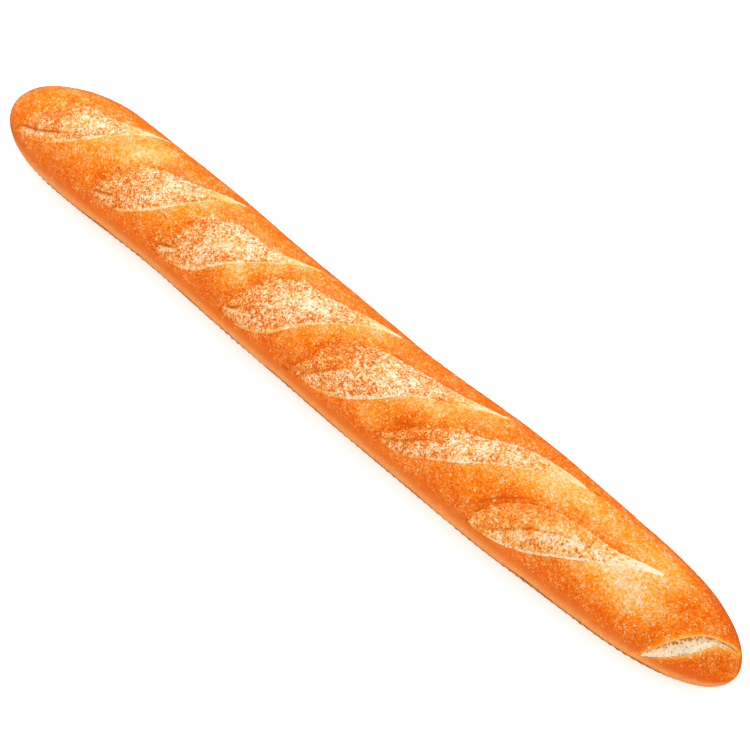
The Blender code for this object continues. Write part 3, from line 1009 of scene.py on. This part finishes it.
def makeBlisters():
    # strewn at random, more of them where the skin is pale, none in the openings or on the sole
    dice = np.random.default_rng(7)
    x = dice.uniform(-292, 292, blisterSizes["tries"]) * mm
    s = dice.uniform(-52, 54, blisterSizes["tries"]) * mm
    height, around, gap = aroundOpenings(x, s)
    fields = crustFields(x, s, *around)
    chance = (0.15 + fields["paleness"]) * (1 - 0.7 * smooth(np.abs(s), 40 * mm, 46 * mm))
    chance *= (gap == 0) & (around[0] < 0.85) & (fields["torn"] < 0.5)
    kept = np.flatnonzero(dice.random(len(x)) < chance)[:blisterSizes["count"]]
    narrowest, widest = blisterSizes["narrowest"], blisterSizes["widest"]
    width = narrowest + (widest - narrowest) * dice.random(len(kept)) ** 2
    # Dried bubbles under the skin: thin, paler and glossier than the crust, so they catch the light
    material = domeSkin("blisteredSkin", blisterColours, 0.3)
    sunk = height[kept] - 0.02 * mm
    return makeDomes("crustBlisters", x[kept], s[kept], sunk, width, blisterSizes["high"], material)


def makeTrayMarks():
    # the dough sank into the holes of the tray, in staggered rows
    step = traySizes["pitch"]
    rows = np.arange(traySizes["rowsFrom"], 2 * halfGirth - traySizes["rowsFrom"], step * 0.866)
    x, s = np.meshgrid(np.arange(-284 * mm, 284 * mm, step), rows)
    x = x + 0.5 * step * (np.arange(len(rows)) % 2)[:, None]
    s = np.where(s > halfGirth, s - 2 * halfGirth, s)
    sunk = onTray(x, s) > 0.95
    x, s = x[sunk], s[sunk]
    dice = np.random.default_rng(11)
    width = traySizes["width"] * (0.85 + 0.3 * dice.random(len(x)))
    # Little knobs that stood in the tray's holes, out of contact with the metal, and stayed paler
    material = domeSkin("trayKnobs", trayColours, 0.5)
    return makeDomes("trayMarks", x, s, np.full(len(x), -traySizes["high"]), width,
                     traySizes["high"] / traySizes["width"] * 0.95, material)


blisters = makeBlisters()
trayMarks = makeTrayMarks()


# floor, light and camera

studio = {
    "lens": 111.9, "azimuth": 46.77, "elevation": 50.0, "distance": 1.35,
    "aimRight": 0.0186, "aimUp": -0.0135,
    "surround": 0.88,  # strength of the white surround
    "key": 17.0,  # watts of the softbox behind and above the loaf
    "fill": 1.5,  # and of the one at the camera's side
    "glow": 0.52,  # of the acrylic sheet the loaf lies on, lit from below
}


def makeCamera():
    a, e = math.radians(studio["azimuth"]), math.radians(studio["elevation"])
    back = Vector((math.sin(a) * math.cos(e), -math.cos(a) * math.cos(e), math.sin(e)))
    right = Vector((math.cos(a), math.sin(a), 0))
    up = back.cross(right)
    camera = bpy.data.objects.new("camera", bpy.data.cameras.new("camera"))
    camera.data.lens = studio["lens"]
    camera.data.sensor_width = 36
    centre = Vector((0, 0, loafForm["height"] / 2))
    camera.location = centre + back * studio["distance"] + right * studio["aimRight"] + up * studio["aimUp"]
    camera.rotation_mode = "QUATERNION"
    camera.rotation_quaternion = Matrix((right, up, back)).transposed().to_quaternion()
    bpy.context.scene.collection.objects.link(camera)
    bpy.context.scene.camera = camera
    return back, right


def makeStudio(back, right):
    world = bpy.data.worlds.new("studio")
    world.use_nodes = True
    world.node_tree.nodes["Background"].inputs["Color"].default_value = (1, 1, 1, 1)
    world.node_tree.nodes["Background"].inputs["Strength"].default_value = studio["surround"]
    world.cycles_visibility.glossy = False  # only the softboxes mirror in the gloss
    bpy.context.scene.world = world
    across = Vector((-back.x, -back.y, 0)).normalized()
    softboxes = [
        ("keySoftbox", studio["key"], (0.7, 0.45), across * 1.05 + Vector((0, 0, 1.15))),
        ("fillSoftbox", studio["fill"], (1.4, 0.8), -across * 1.3 + Vector((0, 0, 0.7))),
    ]
    for name, watts, (length, width), spot in softboxes:
        light = bpy.data.lights.new(name, "AREA")
        light.shape = "RECTANGLE"
        light.size, light.size_y = length, width
        light.energy = watts
        lamp = bpy.data.objects.new(name, light)
        lamp.location = spot
        lamp.rotation_mode = "QUATERNION"
        lamp.rotation_quaternion = (spot - Vector((0, 0, 0.03))).to_track_quat("Z", "X")
        bpy.context.scene.collection.objects.link(lamp)
    floorMesh = bpy.data.meshes.new("floor")
    floorMesh.from_pydata([(-4, -4, 0), (4, -4, 0), (4, 4, 0), (-4, 4, 0)], [], [(0, 1, 2, 3)])
    floor = bpy.data.objects.new("floor", floorMesh)
    bpy.context.scene.collection.objects.link(floor)
    floor.visible_glossy = False
    material, tree, shader = newMaterial("backlitAcrylic")
    shader.inputs["Base Color"].default_value = linear("#FAFAFA")
    shader.inputs["Roughness"].default_value = 0.9
    shader.inputs["Emission Color"].default_value = (1, 1, 1, 1)
    shader.inputs["Emission Strength"].default_value = studio["glow"]
    floorMesh.materials.append(material)
    view = bpy.context.scene.view_settings
    view.view_transform = "Standard"


back, right = makeCamera()
makeStudio(back, right)
for piece in (crust, crumb, blisters, trayMarks):
    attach(piece, body)
    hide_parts(loafNode)
